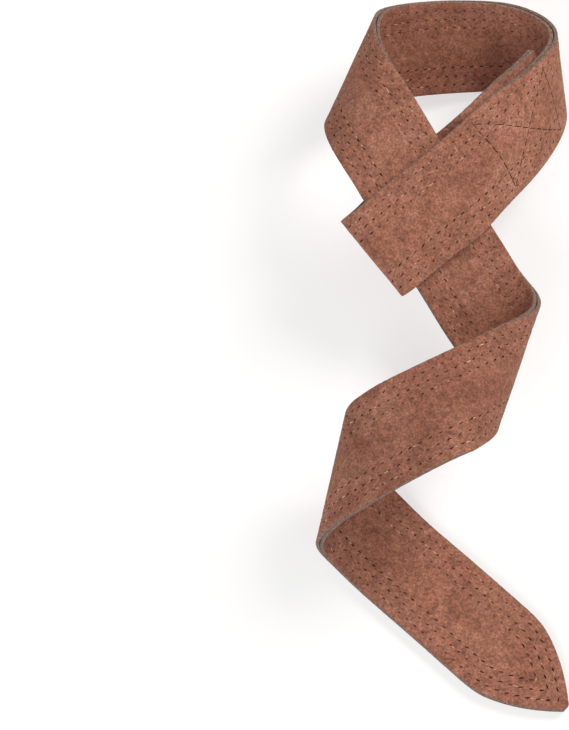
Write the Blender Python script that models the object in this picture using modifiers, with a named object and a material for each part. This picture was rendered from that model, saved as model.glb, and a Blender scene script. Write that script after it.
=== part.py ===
"""Weightlifting strap: two plies of suede sewn together, one end turned back into an eye.

The strap lies on a flat surface as it comes off the hand: its tail goes round the wrist loop,
through the eye and then twists away to a pointed tip. Leather bends but hardly stretches, so the
strap is laid out as a row of straight lines across it (bend lines), and keeps its width between
them. Metres, +Z up, the surface at z = 0, the origin under the middle of the strap.
"""
import math
from collections import namedtuple

import bmesh
import bpy
import numpy as np
from mathutils import Matrix, Vector

# Driving dimensions
LAID_LENGTH = 0.288        # from the far side of the wrist loop to the tip, as it lies
STRAP_WIDTH = 0.038        # 1.5 inch strap
PLY_THICKNESS = 0.0015     # one layer of suede
PLY_GAP = 0.0003           # between the two sewn plies
SEWN_GAP = 0.0006          # between the turned-back end and the band it is sewn to
TIP_LENGTH = 0.031         # length of the pointed end
TIP_END_WIDTH = 0.0030     # blunt end of the point
EYE_LENGTH = 0.063         # from the fold to where the turned-back end is sewn down
SEWN_LENGTH = 0.040        # length of the turned-back end that is sewn down
FOLD_RADIUS = 0.0040       # middle of the strap at the fold
EYE_CLEARANCE = 0.0015     # on each side of the tail where it passes through the eye
EYE_OPENED_SHARE = 0.25    # share of the eye's length in which the fold opens out fully
EYE_CLOSING_SHARE = 0.80   # shares between which the turned-back end comes down to be sewn
EYE_CLOSED_SHARE = 1.06

# Worked out from them
STRAP_THICKNESS = 2 * PLY_THICKNESS + PLY_GAP
TAIL_DEPTH = STRAP_THICKNESS + EYE_CLEARANCE      # eye's front layer to the tail, mid to mid
EYE_OPENING = 2 * TAIL_DEPTH                      # eye's front layer to its back layer
SEWN_DEPTH = STRAP_THICKNESS + SEWN_GAP           # the same where they are sewn together
TURNED_BACK_LENGTH = EYE_LENGTH + SEWN_LENGTH

# How the eye leans where the tail passes through it: the slope of its plane along X and Y,
# and the place of its middle, in shares of the laid length
EYE_SLOPE_X = -0.17
EYE_SLOPE_Y = 0.33
EYE_PLACE = (0.229, 0.193, 0.147)

# The route: one row for each bend line, from the fold to the tip. x, y and z place its middle,
# in shares of the laid length. turn is its direction seen from above and lean its rise above the
# horizontal, in degrees, towards the strap's left edge. A row with a layer takes its height and
# lean from there: eye (the eye's own plane), tail (just under it) or ground.
ROUTE = (
    # name                x      y       z     turn  lean  layer
    ("fold",            0.123, 0.104, 0.000,  133,    0, "eye"),
    ("eye",             0.176, 0.149, 0.000,  118,    0, "eye"),
    ("eye_end",         0.229, 0.193, 0.000,   98,    0, "eye"),
    ("band",            0.281, 0.240, 0.152,   84,   17, None),
    ("band_end",        0.327, 0.291, 0.139,   84,   24, None),
    ("right_turn_in",   0.365, 0.346, 0.120,   96,   42, None),
    ("right_turn",      0.378, 0.406, 0.091,  106,   54, None),
    ("right_turn_out",  0.338, 0.450, 0.061,  113,   48, None),
    ("far_part",        0.271, 0.460, 0.052,  115,   42, None),
    ("far_middle",      0.203, 0.452, 0.061,   96,   38, None),
    ("left_turn_in",    0.140, 0.432, 0.083,   74,   29, None),
    ("left_turn",       0.098, 0.394, 0.121,   64,   20, None),
    ("left_turn_out",   0.097, 0.337, 0.157,   64,   18, None),
    ("left_piece",      0.126, 0.276, 0.167,   68,   14, None),
    ("tail_in",         0.153, 0.233, 0.000,   66,    0, "tail"),
    ("tail_through",    0.180, 0.192, 0.000,   62,    0, "tail"),
    ("tail_out",        0.209, 0.148, 0.000,   58,    0, "tail"),
    ("tail_lower",      0.244, 0.096, 0.095,   56,    9, None),
    ("tail_low",        0.274, 0.047, 0.090,   60,    9, None),
    ("rising",          0.302, -0.007, 0.107,  68,    6, None),
    ("tail_right_turn", 0.305, -0.060, 0.149,  71,    1, None),
    ("over",            0.271, -0.101, 0.192,  74,   -2, None),
    ("arch",            0.215, -0.136, 0.212,  92,    4, None),
    ("arch_end",        0.154, -0.164, 0.200,  92,   14, None),
    ("falling",         0.099, -0.185, 0.163,  80,   26, None),
    ("tail_left_turn",  0.067, -0.198, 0.105,  76,   28, None),
    ("landing",         0.079, -0.217, 0.042,  69,   17, None),
    ("touching",        0.110, -0.243, 0.014,  57,    5, None),
    ("ground",          0.146, -0.277, 0.000,  50,    0, "ground"),
    ("last_piece",      0.196, -0.323, 0.000,  47,    0, "ground"),
    ("last_middle",     0.250, -0.373, 0.000,  47,    0, "ground"),
    ("tip",             0.371, -0.486, 0.000,  47,    0, "ground"),
)
BendLine = namedtuple("BendLine", "name x y z turn lean layer")

# Mesh density
STEP = 0.0055              # along the strap
FOLD_STEPS = 10            # round the fold
STEPS_ACROSS = 8
SMALL = 0.0005             # distance over which a slope is measured
SLANT_SAMPLES = 400        # bend lines looked at to find the one through a point

SUEDE_OUTER = (0.335, 0.140, 0.085, 1.0)
SUEDE_INNER = (0.300, 0.122, 0.075, 1.0)
SUEDE_ROUGHNESS = 0.95


def plane_height(x, y, layer):
    """Height of a layer's plane above a point of the ground."""
    if layer == "ground":
        return STRAP_THICKNESS / 2
    height = EYE_PLACE[2] * LAID_LENGTH
    height += EYE_SLOPE_X * (x - EYE_PLACE[0] * LAID_LENGTH)
    height += EYE_SLOPE_Y * (y - EYE_PLACE[1] * LAID_LENGTH)
    if layer == "tail":
        height -= TAIL_DEPTH * math.hypot(1.0, math.hypot(EYE_SLOPE_X, EYE_SLOPE_Y))
    return height


def bend_line(row):
    """Middle point and direction of one row's bend line."""
    x, y, z = row.x * LAID_LENGTH, row.y * LAID_LENGTH, row.z * LAID_LENGTH
    turn = math.radians(row.turn)
    heading = Vector((math.cos(turn), math.sin(turn), 0.0))
    rise = math.tan(math.radians(row.lean))
    if row.layer:
        z = plane_height(x, y, row.layer)
        rise = plane_height(x + heading.x, y + heading.y, row.layer) - z
    heading.z = rise
    return (x, y, z), heading.normalized()


def spline(knots, values):
    """Natural cubic spline through the values, as a function that gives value and slope."""
    knots = np.asarray(knots, float)
    values = np.asarray(values, float)
    gaps = np.diff(knots)
    slopes = np.diff(values, axis=0) / gaps[:, None]
    count = len(knots)
    system = np.eye(count)
    right = np.zeros_like(values)
    for i in range(1, count - 1):
        system[i, i - 1:i + 2] = gaps[i - 1], 2 * (gaps[i - 1] + gaps[i]), gaps[i]
        right[i] = 6 * (slopes[i] - slopes[i - 1])
    bends = np.linalg.solve(system, right)

    def at(place):
        i = int(np.clip(np.searchsorted(knots, place) - 1, 0, count - 2))
        gap = gaps[i]
        a = (knots[i + 1] - place) / gap
        b = 1.0 - a
        value = a * values[i] + b * values[i + 1]
        value = value + ((a ** 3 - a) * bends[i] + (b ** 3 - b) * bends[i + 1]) * gap * gap / 6
        slope = slopes[i] + ((1 - 3 * a * a) * bends[i] + (3 * b * b - 1) * bends[i + 1]) * gap / 6
        return value, slope

    return at


class Route:
    """The strap's middle surface, by distance from the fold and distance across."""

    def __init__(self):
        lines = [bend_line(BendLine(*row)) for row in ROUTE]
        points = np.array([line[0] for line in lines])
        headings = np.array([line[1][:] for line in lines])
        steps = np.linalg.norm(np.diff(points, axis=0), axis=1)
        knots = np.concatenate([[0.0], np.cumsum(steps)])
        self.middle = spline(knots, points)
        self.heading = spline(knots, headings)
        self.length = float(knots[-1])
        self.samples = np.linspace(0.0, self.length, SLANT_SAMPLES)
        lines = [self.line(float(sample)) for sample in self.samples]
        self.slants = np.array([forward.dot(across) for middle, forward, across, normal in lines])

    def line(self, station):
        """Middle, across direction (scaled to a square width) and normal at a bend line."""
        middle, slope = self.middle(station)
        heading = Vector(self.heading(station)[0]).normalized()
        forward = Vector(slope).normalized()
        normal = forward.cross(heading)
        across = heading / normal.length
        return Vector(middle), forward, across, normal.normalized()

    def station(self, along, side):
        """The bend line that passes through a point of the flat strap."""
        return float(np.interp(along, self.samples + side * self.slants, self.samples))

    def point(self, along, side, height):
        """Where a point of the flat strap lies; along is negative on the turned-back end."""
        fold_arc = math.pi * FOLD_RADIUS
        if along >= 0.0:
            middle, forward, across, normal = self.line(self.station(along, side))
            return middle + side * across + height * normal
        if along > -fold_arc:
            middle, forward, across, normal = self.line(0.0)
            angle = -along / FOLD_RADIUS
            outward = math.cos(angle) * normal - math.sin(angle) * square_to(forward, across)
            return middle - FOLD_RADIUS * normal + side * across + (FOLD_RADIUS + height) * outward
        back = -along - fold_arc
        middle, forward, across, normal = self.line(self.station(back, side))
        steepness = (layer_depth(back + SMALL) - layer_depth(back - SMALL)) / (2 * SMALL)
        spread = math.hypot(1.0, steepness)
        return middle + side * across - (layer_depth(back) + height * spread) * normal


def square_to(forward, across):
    """The part of forward that is square to the fold line."""
    line = across.normalized()
    return (forward - forward.dot(line) * line).normalized()


def ease(start, end, place):
    """0 before start, 1 after end, smooth between."""
    share = min(max((place - start) / (end - start), 0.0), 1.0)
    return share * share * (3.0 - 2.0 * share)


def layer_depth(back):
    """Depth of the turned-back end under the front layer, by distance from the fold."""
    opening = ease(0.0, EYE_OPENED_SHARE * EYE_LENGTH, back)
    opened = 2 * FOLD_RADIUS + (EYE_OPENING - 2 * FOLD_RADIUS) * opening
    closing = ease(EYE_CLOSING_SHARE * EYE_LENGTH, EYE_CLOSED_SHARE * EYE_LENGTH, back)
    return opened + (SEWN_DEPTH - opened) * closing


def half_width(along, length):
    """Half of the strap's width, drawn in along two arcs to the blunt end of the point."""
    full = STRAP_WIDTH / 2
    from_tip = length - along
    if from_tip >= TIP_LENGTH:
        return full
    drop = full - TIP_END_WIDTH / 2
    arc_radius = (TIP_LENGTH ** 2 + drop ** 2) / (2 * drop)
    inset = arc_radius - math.sqrt(arc_radius ** 2 - (TIP_LENGTH - from_tip) ** 2)
    return full - inset


def stations(route):
    """Distances of the mesh's rows along the strap, the turned-back end first."""
    fold_arc = math.pi * FOLD_RADIUS
    sewn_steps = round(TURNED_BACK_LENGTH / STEP)
    free_length = route.length - TURNED_BACK_LENGTH
    free_steps = round(free_length / STEP)
    sewn = [TURNED_BACK_LENGTH * i / sewn_steps for i in range(sewn_steps + 1)]
    rows = [-fold_arc - back for back in reversed(sewn)]
    rows += [-fold_arc * (1 - i / FOLD_STEPS) for i in range(1, FOLD_STEPS)]
    rows += sewn
    rows += [TURNED_BACK_LENGTH + free_length * i / free_steps for i in range(1, free_steps + 1)]
    return rows


def suede(name, colour):
    material = bpy.data.materials.new(name)
    material.use_nodes = True
    shader = material.node_tree.nodes["Principled BSDF"]
    shader.inputs["Base Color"].default_value = colour
    shader.inputs["Roughness"].default_value = SUEDE_ROUGHNESS
    shader.inputs["Metallic"].default_value = 0.0
    return material


def ply(name, height, colour, route, collection):
    """One suede ply: a flat grid bent along the route, given its thickness by Solidify."""
    rows = stations(route)
    flat = bmesh.new()
    bmesh.ops.create_grid(flat, x_segments=len(rows) - 1, y_segments=STEPS_ACROSS, size=1.0)
    for vertex in flat.verts:
        row = (vertex.co.x + 1) / 2 * (len(rows) - 1)
        along = rows[round(row)]
        side = vertex.co.y * half_width(along, route.length)
        vertex.co = route.point(along, side, height)
    mesh = bpy.data.meshes.new(name)
    flat.to_mesh(mesh)
    flat.free()
    mesh.shade_smooth()
    mesh.materials.append(suede(name + "_suede", colour))
    body = bpy.data.objects.new(name, mesh)
    collection.objects.link(body)
    thick = body.modifiers.new("ply_thickness", "SOLIDIFY")
    thick.thickness = PLY_THICKNESS
    thick.offset = 0.0
    return body


def evaluated_box(bodies):
    """Lowest and highest corner of the finished pieces."""
    graph = bpy.context.evaluated_depsgraph_get()
    corners = []
    for body in bodies:
        mesh = body.evaluated_get(graph).data
        corners += [body.matrix_world @ vertex.co for vertex in mesh.vertices]
    low = Vector([min(corner[i] for corner in corners) for i in range(3)])
    high = Vector([max(corner[i] for corner in corners) for i in range(3)])
    return low, high


def stand_on_ground(bodies):
    """Moves the strap so that it touches z = 0, with the origin under its middle."""
    low, high = evaluated_box(bodies)
    shift = Vector((-(low.x + high.x) / 2, -(low.y + high.y) / 2, -low.z))
    for body in bodies:
        body.data.transform(Matrix.Translation(shift))


def main():
    for leftover in list(bpy.data.objects):
        bpy.data.objects.remove(leftover, do_unlink=True)
    collection = bpy.data.collections.new("weightlifting_strap")
    bpy.context.scene.collection.children.link(collection)
    route = Route()
    ply_middle = (PLY_THICKNESS + PLY_GAP) / 2
    bodies = [
        ply("outer_ply", ply_middle, SUEDE_OUTER, route, collection),
        ply("inner_ply", -ply_middle, SUEDE_INNER, route, collection),
    ]
    bpy.context.view_layer.update()
    stand_on_ground(bodies)
    bpy.context.view_layer.update()


main()
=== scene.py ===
import math
from collections import namedtuple

import bmesh
import bpy
import numpy as np
from mathutils import Matrix, Vector, noise


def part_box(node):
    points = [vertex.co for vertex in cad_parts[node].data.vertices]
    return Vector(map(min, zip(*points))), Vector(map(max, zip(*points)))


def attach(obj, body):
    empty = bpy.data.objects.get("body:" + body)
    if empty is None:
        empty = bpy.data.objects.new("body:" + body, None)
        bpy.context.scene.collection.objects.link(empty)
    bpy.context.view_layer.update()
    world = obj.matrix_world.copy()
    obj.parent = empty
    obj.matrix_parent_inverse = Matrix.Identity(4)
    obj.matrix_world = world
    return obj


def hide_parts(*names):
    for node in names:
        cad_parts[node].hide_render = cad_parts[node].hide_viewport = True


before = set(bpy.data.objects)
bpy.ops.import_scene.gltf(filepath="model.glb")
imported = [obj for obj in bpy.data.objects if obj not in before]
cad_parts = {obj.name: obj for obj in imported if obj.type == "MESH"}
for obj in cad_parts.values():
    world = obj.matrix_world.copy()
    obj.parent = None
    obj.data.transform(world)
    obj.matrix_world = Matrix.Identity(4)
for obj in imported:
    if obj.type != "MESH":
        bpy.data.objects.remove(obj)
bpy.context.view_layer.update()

# Sizes and route of the strap, as the CAD has them
LAID_LENGTH = 0.288
STRAP_WIDTH = 0.038
PLY_THICKNESS = 0.0015
PLY_GAP = 0.0003
SEWN_GAP = 0.0006
TIP_LENGTH = 0.031
TIP_END_WIDTH = 0.0030
EYE_LENGTH = 0.063
SEWN_LENGTH = 0.040
FOLD_RADIUS = 0.0040
EYE_CLEARANCE = 0.0015
EYE_OPENED_SHARE = 0.25
EYE_CLOSING_SHARE = 0.80
EYE_CLOSED_SHARE = 1.06
STRAP_THICKNESS = 2 * PLY_THICKNESS + PLY_GAP
TAIL_DEPTH = STRAP_THICKNESS + EYE_CLEARANCE
EYE_OPENING = 2 * TAIL_DEPTH
SEWN_DEPTH = STRAP_THICKNESS + SEWN_GAP
TURNED_BACK_LENGTH = EYE_LENGTH + SEWN_LENGTH
FOLD_ARC = math.pi * FOLD_RADIUS
EYE_SLOPE_X = -0.17
EYE_SLOPE_Y = 0.33
EYE_PLACE = (0.229, 0.193, 0.147)
FOLD_AT = 0.0045           # the bend of the suede ends here, so that its outside ends at the fold row
BACK_ASIDE = 0.0028        # the turned-back end is sewn on this far towards the left edge
TIP_FULLNESS = 0.62        # 0 for a straight-sided point, 1 for an arched one
SHOULDER = 0.0050          # length over which the point's corners are rounded

ROUTE = (
    # name                x      y       z     turn  lean  layer
    ("fold",            0.123, 0.104, 0.000,  133,    0, "eye"),
    ("eye",             0.176, 0.149, 0.000,  118,    0, "eye"),
    ("eye_end",         0.229, 0.193, 0.000,   98,    0, "eye"),
    ("band",            0.281, 0.240, 0.152,   84,   17, None),
    ("band_end",        0.327, 0.291, 0.139,   84,   24, None),
    ("right_turn_in",   0.365, 0.346, 0.120,   96,   42, None),
    ("right_turn",      0.378, 0.406, 0.091,  106,   54, None),
    ("right_turn_out",  0.338, 0.450, 0.061,  113,   48, None),
    ("far_part",        0.271, 0.460, 0.052,  115,   42, None),
    ("far_middle",      0.203, 0.452, 0.061,   96,   38, None),
    ("left_turn_in",    0.140, 0.432, 0.083,   74,   29, None),
    ("left_turn",       0.098, 0.394, 0.121,   64,   20, None),
    ("left_turn_out",   0.097, 0.337, 0.157,   64,   18, None),
    ("left_piece",      0.126, 0.276, 0.167,   68,   14, None),
    ("tail_in",         0.153, 0.233, 0.000,   66,    0, "tail"),
    ("tail_through",    0.180, 0.192, 0.000,   62,    0, "tail"),
    ("tail_out",        0.209, 0.148, 0.000,   58,    0, "tail"),
    ("tail_lower",      0.244, 0.096, 0.095,   56,    9, None),
    ("tail_low",        0.274, 0.047, 0.090,   60,    9, None),
    ("rising",          0.302, -0.007, 0.107,  68,    6, None),
    ("tail_right_turn", 0.305, -0.060, 0.149,  71,    1, None),
    ("over",            0.271, -0.101, 0.192,  74,   -2, None),
    ("arch",            0.215, -0.136, 0.212,  92,    4, None),
    ("arch_end",        0.154, -0.164, 0.200,  92,   14, None),
    ("falling",         0.099, -0.185, 0.163,  80,   26, None),
    ("tail_left_turn",  0.067, -0.198, 0.105,  76,   28, None),
    ("landing",         0.079, -0.217, 0.042,  69,   17, None),
    ("touching",        0.110, -0.243, 0.014,  57,    5, None),
    ("ground",          0.146, -0.277, 0.000,  50,    0, "ground"),
    ("last_piece",      0.196, -0.323, 0.000,  47,    0, "ground"),
    ("last_middle",     0.250, -0.373, 0.000,  47,    0, "ground"),
    ("tip",             0.371, -0.486, 0.000,  47,    0, "ground"),
)
BendLine = namedtuple("BendLine", "name x y z turn lean layer")

SMALL = 0.0005
SLANT_SAMPLES = 400

# Sewing, in metres on the flat strap
ROW_INSETS = (0.0036, 0.0072, 0.0108)   # three rows of stitches inside each long edge
STITCH_PITCH = 0.0040
SLOT_LENGTH = 0.0020                    # cut that the needle leaves
SLOT_WIDTH = 0.0006
SLOT_TURN = 13                          # degrees between the cut and its row
THREAD_LENGTH = 0.0027
THREAD_WIDTH = 0.00050
THREAD_STAND = 0.00013                  # how far the thread stands above the suede
SEWING_START = 0.0025                   # from the cut end of the turned-back part
BOX_START = 0.0630                      # the box, from the fold
BOX_END = 0.1000
BOX_INSET = ROW_INSETS[0]
BOX_SLOT_LENGTH = 0.0036                # the box is pulled tight, so its cuts run into a line
BOX_SLOT_WIDTH = 0.0004

# Surface of the suede
FURROW_DEPTH = 0.00016                  # how far a row of stitches draws the suede in
FURROW_WIDTH = 0.0006
SWELL = 0.00013                         # slow unevenness of the hide
SWELL_LENGTH = 0.016
DIMPLE = 0.00004
DIMPLE_LENGTH = 0.0035
CUT_RAGGED = 0.00010                    # roughness of the cut edge
CORNER = 0.00030                        # rounding of a ply's cut corners

ROW_STEP = 0.0010
COLUMN_INSETS = (0.0016, 0.0028, 0.0036, 0.0044, 0.0058, 0.0072, 0.0086, 0.0100, 0.0108, 0.0116,
                 0.0135, 0.0162)


def plane_height(x, y, layer):
    """Height of a layer's plane above a point of the ground."""
    if layer == "ground":
        return STRAP_THICKNESS / 2
    height = EYE_PLACE[2] * LAID_LENGTH
    height += EYE_SLOPE_X * (x - EYE_PLACE[0] * LAID_LENGTH)
    height += EYE_SLOPE_Y * (y - EYE_PLACE[1] * LAID_LENGTH)
    if layer == "tail":
        height -= TAIL_DEPTH * math.hypot(1.0, math.hypot(EYE_SLOPE_X, EYE_SLOPE_Y))
    return height


def bend_line(row):
    """Middle point and direction of one row's bend line."""
    x, y, z = row.x * LAID_LENGTH, row.y * LAID_LENGTH, row.z * LAID_LENGTH
    turn = math.radians(row.turn)
    heading = Vector((math.cos(turn), math.sin(turn), 0.0))
    rise = math.tan(math.radians(row.lean))
    if row.layer:
        z = plane_height(x, y, row.layer)
        rise = plane_height(x + heading.x, y + heading.y, row.layer) - z
    heading.z = rise
    return (x, y, z), heading.normalized()


def spline(knots, values):
    """Natural cubic spline through the values, as a function that gives value and slope."""
    knots = np.asarray(knots, float)
    values = np.asarray(values, float)
    gaps = np.diff(knots)
    slopes = np.diff(values, axis=0) / gaps[:, None]
    count = len(knots)
    system = np.eye(count)
    right = np.zeros_like(values)
    for i in range(1, count - 1):
        system[i, i - 1:i + 2] = gaps[i - 1], 2 * (gaps[i - 1] + gaps[i]), gaps[i]
        right[i] = 6 * (slopes[i] - slopes[i - 1])
    bends = np.linalg.solve(system, right)

    def at(place):
        i = int(np.clip(np.searchsorted(knots, place) - 1, 0, count - 2))
        gap = gaps[i]
        a = (knots[i + 1] - place) / gap
        b = 1.0 - a
        value = a * values[i] + b * values[i + 1]
        value = value + ((a ** 3 - a) * bends[i] + (b ** 3 - b) * bends[i + 1]) * gap * gap / 6
        slope = slopes[i] + ((1 - 3 * a * a) * bends[i] + (3 * b * b - 1) * bends[i + 1]) * gap / 6
        return value, slope

    return at


def square_to(forward, across):
    """The part of forward that is square to the fold line."""
    line = across.normalized()
    return (forward - forward.dot(line) * line).normalized()


def ease(start, end, place):
    """0 before start, 1 after end, smooth between."""
    share = min(max((place - start) / (end - start), 0.0), 1.0)
    return share * share * (3.0 - 2.0 * share)


def layer_depth(back):
    """Depth of the turned-back end under the front layer, by distance from the fold."""
    eye = EYE_LENGTH - FOLD_AT
    opening = ease(0.0, EYE_OPENED_SHARE * eye, back)
    opened = 2 * FOLD_RADIUS + (EYE_OPENING - 2 * FOLD_RADIUS) * opening
    closing = ease(EYE_CLOSING_SHARE * eye, EYE_CLOSED_SHARE * eye, back)
    return opened + (SEWN_DEPTH - opened) * closing


class Strap:
    """Where each point of the flat strap lies; along is negative on the turned-back end."""

    def __init__(self):
        lines = [bend_line(BendLine(*row)) for row in ROUTE]
        points = np.array([line[0] for line in lines])
        headings = np.array([line[1][:] for line in lines])
        steps = np.linalg.norm(np.diff(points, axis=0), axis=1)
        knots = np.concatenate([[0.0], np.cumsum(steps)])
        self.middle = spline(knots, points)
        self.heading = spline(knots, headings)
        self.length = float(knots[-1])
        self.start = 2 * FOLD_AT - FOLD_ARC - TURNED_BACK_LENGTH
        self.shift = Vector((0.0, 0.0, 0.0))
        self.samples = np.linspace(0.0, self.length, SLANT_SAMPLES)
        lines = [self.line(float(sample)) for sample in self.samples]
        self.slants = np.array([forward.dot(across) for middle, forward, across, normal in lines])

    def line(self, station):
        """Middle, across direction (scaled to a square width) and normal at a bend line."""
        middle, slope = self.middle(station)
        heading = Vector(self.heading(station)[0]).normalized()
        forward = Vector(slope).normalized()
        normal = forward.cross(heading)
        across = heading / normal.length
        return Vector(middle) + self.shift, forward, across, normal.normalized()

    def station(self, along, side):
        """The bend line that passes through a point of the flat strap."""
        return float(np.interp(along, self.samples + side * self.slants, self.samples))

    def point(self, along, side, height):
        if along >= FOLD_AT:
            middle, forward, across, normal = self.line(self.station(along, side))
            return middle + side * across + height * normal
        if along > FOLD_AT - FOLD_ARC:
            middle, forward, across, normal = self.line(self.station(FOLD_AT, side))
            angle = (FOLD_AT - along) / FOLD_RADIUS
            outward = math.cos(angle) * normal - math.sin(angle) * square_to(forward, across)
            return middle - FOLD_RADIUS * normal + side * across + (FOLD_RADIUS + height) * outward
        back = FOLD_AT - FOLD_ARC - along
        side += BACK_ASIDE * ease(0.0, 0.5 * EYE_LENGTH, back)
        middle, forward, across, normal = self.line(self.station(FOLD_AT + back, side))
        steepness = (layer_depth(back + SMALL) - layer_depth(back - SMALL)) / (2 * SMALL)
        spread = math.hypot(1.0, steepness)
        return middle + side * across - (layer_depth(back) + height * spread) * normal

    def half_width(self, along):
        """Half of the strap's width, drawn in from two soft corners to the blunt point."""
        full = STRAP_WIDTH / 2
        share = (self.length - along) / TIP_LENGTH
        straight = min(share, 1.0 + SHOULDER / TIP_LENGTH)
        arched = 1.0 - (1.0 - min(share, 1.0)) ** 2
        taper = TIP_FULLNESS * arched + (1.0 - TIP_FULLNESS) * straight
        over = (taper - 1.0) * TIP_LENGTH / SHOULDER
        if over > -0.5:
            taper = 1.0 - 0.5 * SHOULDER / TIP_LENGTH * max(0.5 - over, 0.0) ** 2
        return TIP_END_WIDTH / 2 + (full - TIP_END_WIDTH / 2) * min(taper, 1.0)

    def lay_on_frame(self):
        """Moves the strap to where the CAD's plies lie."""
        corners = []
        for along in np.arange(self.start, self.length + ROW_STEP / 2, ROW_STEP):
            half = self.half_width(float(along))
            for side in (-half, 0.0, half):
                for height in (-STRAP_THICKNESS / 2, STRAP_THICKNESS / 2):
                    corners.append(self.point(float(along), side, height)[:])
        corners = np.array(corners)
        low, high = corners.min(axis=0), corners.max(axis=0)
        boxes = [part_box("outer_ply"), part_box("inner_ply")]
        cad_low = [min(box[0][i] for box in boxes) for i in range(3)]
        cad_high = [max(box[1][i] for box in boxes) for i in range(3)]
        self.shift = Vector((
            (cad_low[0] + cad_high[0] - low[0] - high[0]) / 2,
            (cad_low[1] + cad_high[1] - low[1] - high[1]) / 2,
            cad_low[2] - low[2],
        ))


def furrow(along, inset, strap):
    """How far the rows of stitches draw the suede in; it is deepest at each needle cut."""
    fade = 1.0 - ease(strap.length - TIP_LENGTH - 0.004, strap.length - TIP_LENGTH, along)
    depth = 0.0
    for row_inset in ROW_INSETS:
        depth += math.exp(-((inset - row_inset) / FURROW_WIDTH) ** 2)
    pull = 0.65 + 0.35 * math.cos(2 * math.pi * along / STITCH_PITCH)
    return FURROW_DEPTH * depth * pull * fade


def relief(along, side, face, strap):
    """Height of the suede's surface over its even thickness."""
    slow = noise.noise(Vector((along / SWELL_LENGTH, side / SWELL_LENGTH, 7.0 * face)))
    fine = noise.noise(Vector((along / DIMPLE_LENGTH, side / DIMPLE_LENGTH, 9.0 + face)))
    inset = strap.half_width(along) - abs(side)
    return SWELL * slow + DIMPLE * fine - furrow(along, inset, strap)


def ply_rows(strap):
    """Distances of a ply's mesh rows along the strap, closer together at the tip."""
    even = strap.length - 0.004
    count = round((even - strap.start) / ROW_STEP)
    rows = [strap.start + (even - strap.start) * i / count for i in range(count + 1)]
    return rows + [even + 0.004 * i / 10 for i in range(1, 11)]


def ply_ring(along, face, strap):
    """One closed cross-section of a ply: its face, a cut edge, its hidden side, a cut edge."""
    half = strap.half_width(along)
    outside = PLY_GAP / 2 + PLY_THICKNESS
    inside = PLY_GAP / 2
    sides = []
    for inset in COLUMN_INSETS:
        sides.append(max(half - inset, 0.02 * half * (1 - inset / STRAP_WIDTH)))
    columns = [-half + CORNER] + [-side for side in sides] + [0.0] + sides[::-1] + [half - CORNER]
    ring = []
    for side in columns:
        ring.append((side, outside + relief(along, side, face, strap)))
    edge = (
        (0.10 * CORNER, outside - 0.40 * CORNER),
        (-0.10 * CORNER, outside - 1.6 * CORNER),
        (0.10 * CORNER, (outside + inside) / 2),
        (-0.10 * CORNER, inside + 1.2 * CORNER),
        (0.30 * CORNER, inside + 0.3 * CORNER),
        (2.5 * CORNER, inside),
    )
    for inset, height in edge:
        ragged = noise.noise(Vector((along / 0.0009, height / 0.0007, 20.0 + face)))
        ring.append((half - inset - CUT_RAGGED * (0.6 + ragged), height))
    ring.append((half * 0.4, inside))
    ring.append((-half * 0.4, inside))
    for inset, height in reversed(edge):
        ragged = noise.noise(Vector((along / 0.0009, height / 0.0007, 40.0 + face)))
        ring.append((-half + inset + CUT_RAGGED * (0.6 + ragged), height))
    return [strap.point(along, side, face * height) for side, height in ring], len(columns)


def ply(name, node, face, materials, strap):
    """One suede ply as a fine closed mesh with rounded, slightly ragged cut edges."""
    mesh = bmesh.new()
    rings = []
    for along in ply_rows(strap):
        points, face_count = ply_ring(along, face, strap)
        rings.append([mesh.verts.new(point) for point in points])
    around = len(rings[0])
    for first, second in zip(rings, rings[1:]):
        for i in range(around):
            j = (i + 1) % around
            quad = mesh.faces.new((first[i], first[j], second[j], second[i]))
            quad.material_index = 0 if i < face_count - 1 else 1
            quad.smooth = True
    for ring in (rings[0], rings[-1]):
        end = mesh.faces.new(ring)
        end.material_index = 1
    bmesh.ops.recalc_face_normals(mesh, faces=mesh.faces[:])
    return finished(name, mesh, materials, (node,))


def finished(name, mesh, materials, nodes=()):
    """Turns a bmesh into a named piece that rides with the strap."""
    data = bpy.data.meshes.new(name)
    mesh.to_mesh(data)
    mesh.free()
    for material in materials:
        data.materials.append(material)
    piece = bpy.data.objects.new(name, data)
    bpy.context.scene.collection.objects.link(piece)
    if nodes:
        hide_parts(*nodes)
    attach(piece, "root")
    return piece


def edge_path(inset, start, strap):
    """Flat path of one row of stitches: up one long edge, round the point and back."""
    outline = []
    for along in np.arange(start, strap.length + 0.0002, 0.0005):
        along = min(float(along), strap.length)
        outline.append((along, strap.half_width(along)))
    path = []
    for before, here, after in zip(outline, outline[1:], outline[2:]):
        run, rise = after[0] - before[0], after[1] - before[1]
        size = math.hypot(run, rise)
        along = here[0] + inset * rise / size
        side = here[1] - inset * run / size
        if side > 0.0:
            path.append((along, side))
    return path + [(along, -side) for along, side in reversed(path)]


def stitch_places(path, phase):
    """Points at even pitch on a flat path, each with the path's direction there."""
    path = np.array(path)
    steps = np.hypot(*np.diff(path, axis=0).T)
    run = np.concatenate([[0.0], np.cumsum(steps)])
    count = int((run[-1] - phase) / STITCH_PITCH)
    places = []
    for i in range(count + 1):
        here = phase + i * STITCH_PITCH
        ahead = min(here + 0.0006, run[-1])
        behind = ahead - 0.0012
        spot = [np.interp(here, run, path[:, k]) for k in (0, 1)]
        way = [np.interp(ahead, run, path[:, k]) - np.interp(behind, run, path[:, k]) for k in (0, 1)]
        size = math.hypot(*way)
        places.append((float(spot[0]), float(spot[1]), float(way[0] / size), float(way[1] / size)))
    return places


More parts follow.
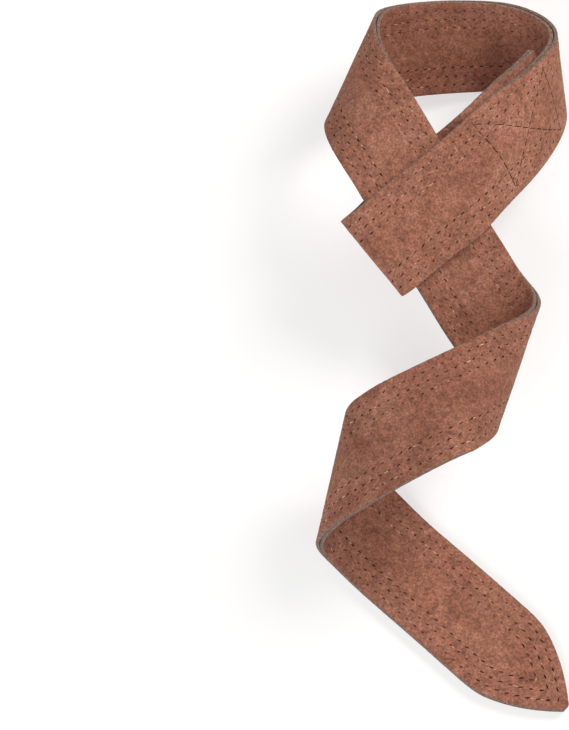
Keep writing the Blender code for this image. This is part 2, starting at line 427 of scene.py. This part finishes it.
def surface_axes(along, side, way, face, strap):
    """Point on the suede's surface, with the path's direction, the sideways one and outwards."""
    height = STRAP_THICKNESS / 2
    lift = relief(along, side, face, strap)
    spot = strap.point(along, side, face * (height + lift))
    ahead = strap.point(along + way[0] * SMALL, side + way[1] * SMALL, face * height)
    behind = strap.point(along - way[0] * SMALL, side - way[1] * SMALL, face * height)
    inner = strap.point(along, side, face * (height - SMALL))
    forward = (ahead - behind).normalized()
    outward = strap.point(along, side, face * height) - inner
    outward = (outward - outward.dot(forward) * forward).normalized()
    return spot, forward, outward.cross(forward), outward


def add_slot(mesh, place, size, turn, face, strap):
    """A needle's cut: a small lens just above the suede, dark with painted shade of the hole."""
    length, width = size
    along, side, way_along, way_side = place
    spot, forward, sideways, outward = surface_axes(along, side, (way_along, way_side), face, strap)
    lean = math.radians(turn)
    forward, sideways = (
        math.cos(lean) * forward + math.sin(lean) * sideways,
        math.cos(lean) * sideways - math.sin(lean) * forward,
    )
    ring = []
    for i in range(8):
        angle = 2 * math.pi * i / 8
        reach = forward * math.cos(angle) * length / 2 + sideways * math.sin(angle) * width / 2
        ring.append(mesh.verts.new(spot + reach + outward * 0.00003))
    middle = mesh.verts.new(spot + outward * 0.00005)
    for i in range(8):
        mesh.faces.new((middle, ring[i], ring[(i + 1) % 8])).smooth = True


def add_thread(mesh, place, face, strap):
    """One stitch of thread: a low rounded run that goes down into the cuts at both ends."""
    along, side, way_along, way_side = place
    spot, forward, sideways, outward = surface_axes(along, side, (way_along, way_side), face, strap)
    rings = []
    for i in range(7):
        run = -1.0 + 2.0 * i / 6
        crown = 1.0 - run * run
        centre = spot + forward * run * THREAD_LENGTH / 2
        ring = []
        for k in range(5):
            angle = math.pi * k / 4
            wide = math.cos(angle) * THREAD_WIDTH / 2 * (0.55 + 0.45 * crown)
            high = math.sin(angle) * (THREAD_STAND + 0.00012) * crown - 0.00012
            ring.append(mesh.verts.new(centre + sideways * wide + outward * high))
        rings.append(ring)
    for first, second in zip(rings, rings[1:]):
        for k in range(4):
            mesh.faces.new((first[k], first[k + 1], second[k + 1], second[k])).smooth = True


def straight_path(start, end):
    """Flat points along one straight row of stitches."""
    count = max(2, round(math.dist(start, end) / 0.0005))
    return [(start[0] + (end[0] - start[0]) * i / count, start[1] + (end[1] - start[1]) * i / count)
            for i in range(count + 1)]


def sew(name, paths, face, strap):
    """The slots and the threads of these rows, on one face of the strap."""
    slots = bmesh.new()
    threads = bmesh.new()
    for number, path in enumerate(paths):
        cuts = stitch_places(path, 0.0)
        for i, place in enumerate(cuts):
            wobble = noise.noise(Vector((i * 0.73, number * 1.9, 3.0 * face)))
            size = (SLOT_LENGTH * (1 + 0.3 * wobble), SLOT_WIDTH * (1 - 0.4 * wobble))
            add_slot(slots, place, size, SLOT_TURN + 14 * wobble, face, strap)
        for place in stitch_places(path, STITCH_PITCH / 2):
            add_thread(threads, place, face, strap)
    # the cuts are coloured nearly black as painted shade of the needle holes
    finished(name + "_cuts_painted_shade", slots, [NEEDLE_CUT_SHADE])
    finished(name + "_thread", threads, [THREAD])


def sew_box(name, paths, face, strap):
    """The tight seams of the box: thin lines of cuts, dark with painted shade where the thread has
    sunk into them.
    """
    slots = bmesh.new()
    for path in paths:
        for place in stitch_places(path, STITCH_PITCH / 2):
            add_slot(slots, place, (BOX_SLOT_LENGTH, BOX_SLOT_WIDTH), 2, face, strap)
    # the box's cuts are coloured nearly black as painted shade of the sunk seam
    finished(name + "_cuts_painted_shade", slots, [NEEDLE_CUT_SHADE])


def linear(hex_colour):
    """An sRGB hex colour as the linear values that a shader takes."""
    values = [int(hex_colour[i:i + 2], 16) / 255 for i in (1, 3, 5)]
    return [v / 12.92 if v <= 0.04045 else ((v + 0.055) / 1.055) ** 2.4 for v in values] + [1.0]


def add(tree, kind, settings=None, **links):
    """Adds a node; settings are its properties or socket values, links its inputs."""
    node = tree.nodes.new(kind)
    for key, value in (settings or {}).items():
        if isinstance(key, str) and hasattr(node, key):
            setattr(node, key, value)
        else:
            node.inputs[key].default_value = value
    for key, source in links.items():
        index = int(key[1:]) if key[0] == "i" and key[1:].isdigit() else key.replace("_", " ")
        tree.links.new(source, node.inputs[index])
    return node


def new_material(name, roughness, settings):
    """An empty material's tree and its shader, with the shader's even values set."""
    material = bpy.data.materials.new(name)
    material.use_nodes = True
    tree = material.node_tree
    shader = tree.nodes["Principled BSDF"]
    shader.inputs["Roughness"].default_value = roughness
    for key, value in settings.items():
        shader.inputs[key].default_value = value
    return material, tree, shader


def per_mm(size):
    """Noise scale whose features are this many millimetres across."""
    return 1000.0 / size


def brushed_suede(name, dark, middle, light):
    """Split cowhide, brushed: no gloss, a soft mottled nap with darker and lighter strokes."""
    material, tree, shader = new_material(name, 0.93, {
        "Specular IOR Level": 0.18,
        "Sheen Weight": 0.12,
        "Sheen Roughness": 0.55,
        "Sheen Tint": linear("#e2b59a"),
    })
    place = add(tree, "ShaderNodeTexCoord").outputs["Object"]
    # strokes of the brush that laid the nap different ways, 20 mm across
    strokes = add(tree, "ShaderNodeTexNoise", {"Scale": per_mm(20), "Detail": 4.0, "Distortion": 0.8},
                  Vector=place)
    # tufts of nap, 2.5 mm
    tufts = add(tree, "ShaderNodeTexNoise", {"Scale": per_mm(2.5), "Detail": 4.0, "Roughness": 0.62},
                Vector=place)
    # fibres are finer than a pixel; drawn as coarse as 0.8 mm so that they show
    fibres = add(tree, "ShaderNodeTexNoise", {"Scale": per_mm(0.8), "Detail": 2.0}, Vector=place)
    base = add(tree, "ShaderNodeValToRGB", Fac=strokes.outputs["Fac"])
    base.color_ramp.elements[0].position = 0.30
    base.color_ramp.elements[0].color = linear(dark)
    base.color_ramp.elements[1].position = 0.72
    base.color_ramp.elements[1].color = linear(light)
    base.color_ramp.elements.new(0.5).color = linear(middle)
    patch = add(tree, "ShaderNodeMapRange", {1: 0.36, 2: 0.64, 3: 0.76, 4: 1.22},
                i0=tufts.outputs["Fac"])
    fleck = add(tree, "ShaderNodeMapRange", {1: 0.34, 2: 0.66, 3: 0.70, 4: 1.30},
                i0=fibres.outputs["Fac"])
    both = add(tree, "ShaderNodeMath", {"operation": "MULTIPLY"},
               i0=patch.outputs[0], i1=fleck.outputs[0])
    colour = add(tree, "ShaderNodeVectorMath", {"operation": "SCALE"},
                 i0=base.outputs["Color"], Scale=both.outputs[0])
    tree.links.new(colour.outputs[0], shader.inputs["Base Color"])
    deep = add(tree, "ShaderNodeBump", {"Strength": 0.55, "Distance": 0.0004},
               Height=tufts.outputs["Fac"])
    fine = add(tree, "ShaderNodeBump", {"Strength": 0.45, "Distance": 0.0002},
               Height=fibres.outputs["Fac"], Normal=deep.outputs["Normal"])
    tree.links.new(fine.outputs["Normal"], shader.inputs["Normal"])
    return material


def cut_suede():
    """Cut edge of the hide: greyer than the nap, with pale and dark fibre ends."""
    material, tree, shader = new_material("suede_cut_edge", 0.90, {
        "Specular IOR Level": 0.2,
        "Sheen Weight": 0.15,
    })
    place = add(tree, "ShaderNodeTexCoord").outputs["Object"]
    ends = add(tree, "ShaderNodeTexNoise", {"Scale": per_mm(0.8), "Detail": 3.0, "Roughness": 0.7},
               Vector=place)
    colour = add(tree, "ShaderNodeValToRGB", Fac=ends.outputs["Fac"])
    colour.color_ramp.elements[0].position = 0.32
    colour.color_ramp.elements[0].color = linear("#4f3a33")
    colour.color_ramp.elements[1].position = 0.70
    colour.color_ramp.elements[1].color = linear("#a58979")
    colour.color_ramp.elements.new(0.5).color = linear("#7c6257")
    tree.links.new(colour.outputs["Color"], shader.inputs["Base Color"])
    bump = add(tree, "ShaderNodeBump", {"Strength": 0.7, "Distance": 0.0003},
               Height=ends.outputs["Fac"])
    tree.links.new(bump.outputs["Normal"], shader.inputs["Normal"])
    return material


def sewing_thread():
    """Bonded nylon thread, about the suede's colour: a slight gloss and a ply twist."""
    material, tree, shader = new_material("bonded_nylon_thread", 0.55, {"Specular IOR Level": 0.4})
    place = add(tree, "ShaderNodeTexCoord").outputs["Object"]
    soil = add(tree, "ShaderNodeTexNoise", {"Scale": per_mm(2.2), "Detail": 2.0}, Vector=place)
    colour = add(tree, "ShaderNodeValToRGB", Fac=soil.outputs["Fac"])
    colour.color_ramp.elements[0].position = 0.54
    colour.color_ramp.elements[0].color = linear("#8f6150")
    colour.color_ramp.elements[1].position = 0.70
    colour.color_ramp.elements[1].color = linear("#d9ab93")
    tree.links.new(colour.outputs["Color"], shader.inputs["Base Color"])
    twist = add(tree, "ShaderNodeTexNoise", {"Scale": per_mm(0.25), "Detail": 1.0}, Vector=place)
    bump = add(tree, "ShaderNodeBump", {"Strength": 0.4, "Distance": 0.0001},
               Height=twist.outputs["Fac"])
    tree.links.new(bump.outputs["Normal"], shader.inputs["Normal"])
    return material


def needle_cut_painted_shade():
    """The cut under a stitch: fibre in painted shade, nearly black-brown, standing in for the hole's
    shaded recess.
    """
    material, tree, shader = new_material("needle_cut_painted_shade", 0.95, {"Specular IOR Level": 0.05})
    place = add(tree, "ShaderNodeTexCoord").outputs["Object"]
    depth = add(tree, "ShaderNodeTexNoise", {"Scale": per_mm(5), "Detail": 2.0}, Vector=place)
    # near black to dark brown: painted shade inside the cut, deeper in patches
    colour = add(tree, "ShaderNodeValToRGB", Fac=depth.outputs["Fac"])
    colour.color_ramp.elements[0].position = 0.40
    colour.color_ramp.elements[0].color = linear("#2a1510")
    colour.color_ramp.elements[1].position = 0.66
    colour.color_ramp.elements[1].color = linear("#603a2d")
    tree.links.new(colour.outputs["Color"], shader.inputs["Base Color"])
    return material


def pale_floor():
    """Plain white studio ground, large enough for every view."""
    bpy.ops.mesh.primitive_plane_add(size=12.0, location=(0.0, 0.0, -0.0002))
    floor = bpy.context.object
    floor.name = "studio_floor"
    material, tree, shader = new_material("white_studio_ground", 0.9, {
        "Base Color": linear("#aaaaaa"),
        "Specular IOR Level": 0.1,
        "Emission Color": linear("#ffffff"),
        "Emission Strength": 0.62,
    })
    floor.data.materials.append(material)


def lamp(name, place, aim, size, power, colour):
    """A soft square lamp that points at aim."""
    data = bpy.data.lights.new(name, "AREA")
    data.size = size
    data.energy = power
    data.color = linear(colour)[:3]
    body = bpy.data.objects.new(name, data)
    body.location = place
    body.rotation_euler = (Vector(aim) - Vector(place)).to_track_quat("-Z", "Y").to_euler()
    bpy.context.scene.collection.objects.link(body)


def studio_light():
    bpy.context.scene.view_settings.view_transform = "Standard"
    world = bpy.data.worlds.new("studio")
    bpy.context.scene.world = world
    world.use_nodes = True
    sky = world.node_tree.nodes["Background"]
    sky.inputs["Color"].default_value = linear("#fffaf6")
    sky.inputs["Strength"].default_value = 0.35
    lamp("key_light", (0.70, 0.60, 0.85), (0.0, 0.0, 0.0), 0.50, 11.5, "#fff8f2")
    lamp("front_fill", (-0.55, -0.95, 0.85), (0.0, 0.0, 0.0), 0.7, 10.0, "#fbfcff")


def camera(target):
    """The photograph's view: nearly straight down, from the tip's side."""
    elevation = math.radians(CAMERA_ELEVATION)
    back = Vector((0.0, -math.cos(elevation), math.sin(elevation)))
    data = bpy.data.cameras.new("camera")
    data.lens = CAMERA_LENS
    data.dof.use_dof = False
    body = bpy.data.objects.new("camera", data)
    body.location = target + back * CAMERA_DISTANCE
    body.rotation_mode = "QUATERNION"
    body.rotation_quaternion = (-back).to_track_quat("-Z", "Y")
    bpy.context.scene.collection.objects.link(body)
    bpy.context.scene.camera = body


CAMERA_ELEVATION = 69.2     # degrees above the floor
CAMERA_DISTANCE = 1.300
CAMERA_LENS = 162.3

strap = Strap()
strap.lay_on_frame()
camera(strap.shift.copy())

OUTER_SUEDE = brushed_suede("brushed_suede_outer", "#8b5a48", "#976552", "#a1705d")
INNER_SUEDE = brushed_suede("brushed_suede_inner", "#855645", "#91604e", "#9c6c59")
CUT_EDGE = cut_suede()
THREAD = sewing_thread()
NEEDLE_CUT_SHADE = needle_cut_painted_shade()

outer = ply("outer_suede_ply", "outer_ply", 1.0, [OUTER_SUEDE, CUT_EDGE], strap)
inner = ply("inner_suede_ply", "inner_ply", -1.0, [INNER_SUEDE, CUT_EDGE], strap)

edge_rows = [edge_path(inset, strap.start + SEWING_START, strap) for inset in ROW_INSETS]
sew("outer_rows", edge_rows, 1.0, strap)
sew("inner_rows", edge_rows, -1.0, strap)

box_side = STRAP_WIDTH / 2 - BOX_INSET
box_rows = [
    straight_path((BOX_START, -box_side), (BOX_START, box_side)),
    straight_path((BOX_END, -box_side), (BOX_END, box_side)),
    straight_path((BOX_START, -box_side), (BOX_END, box_side)),
    straight_path((BOX_START, box_side), (BOX_END, -box_side)),
]
under_rows = [[(2 * FOLD_AT - FOLD_ARC - along, side) for along, side in path] for path in box_rows]
sew_box("box_front", box_rows, 1.0, strap)
sew_box("box_back", under_rows, 1.0, strap)

pale_floor()
studio_light()
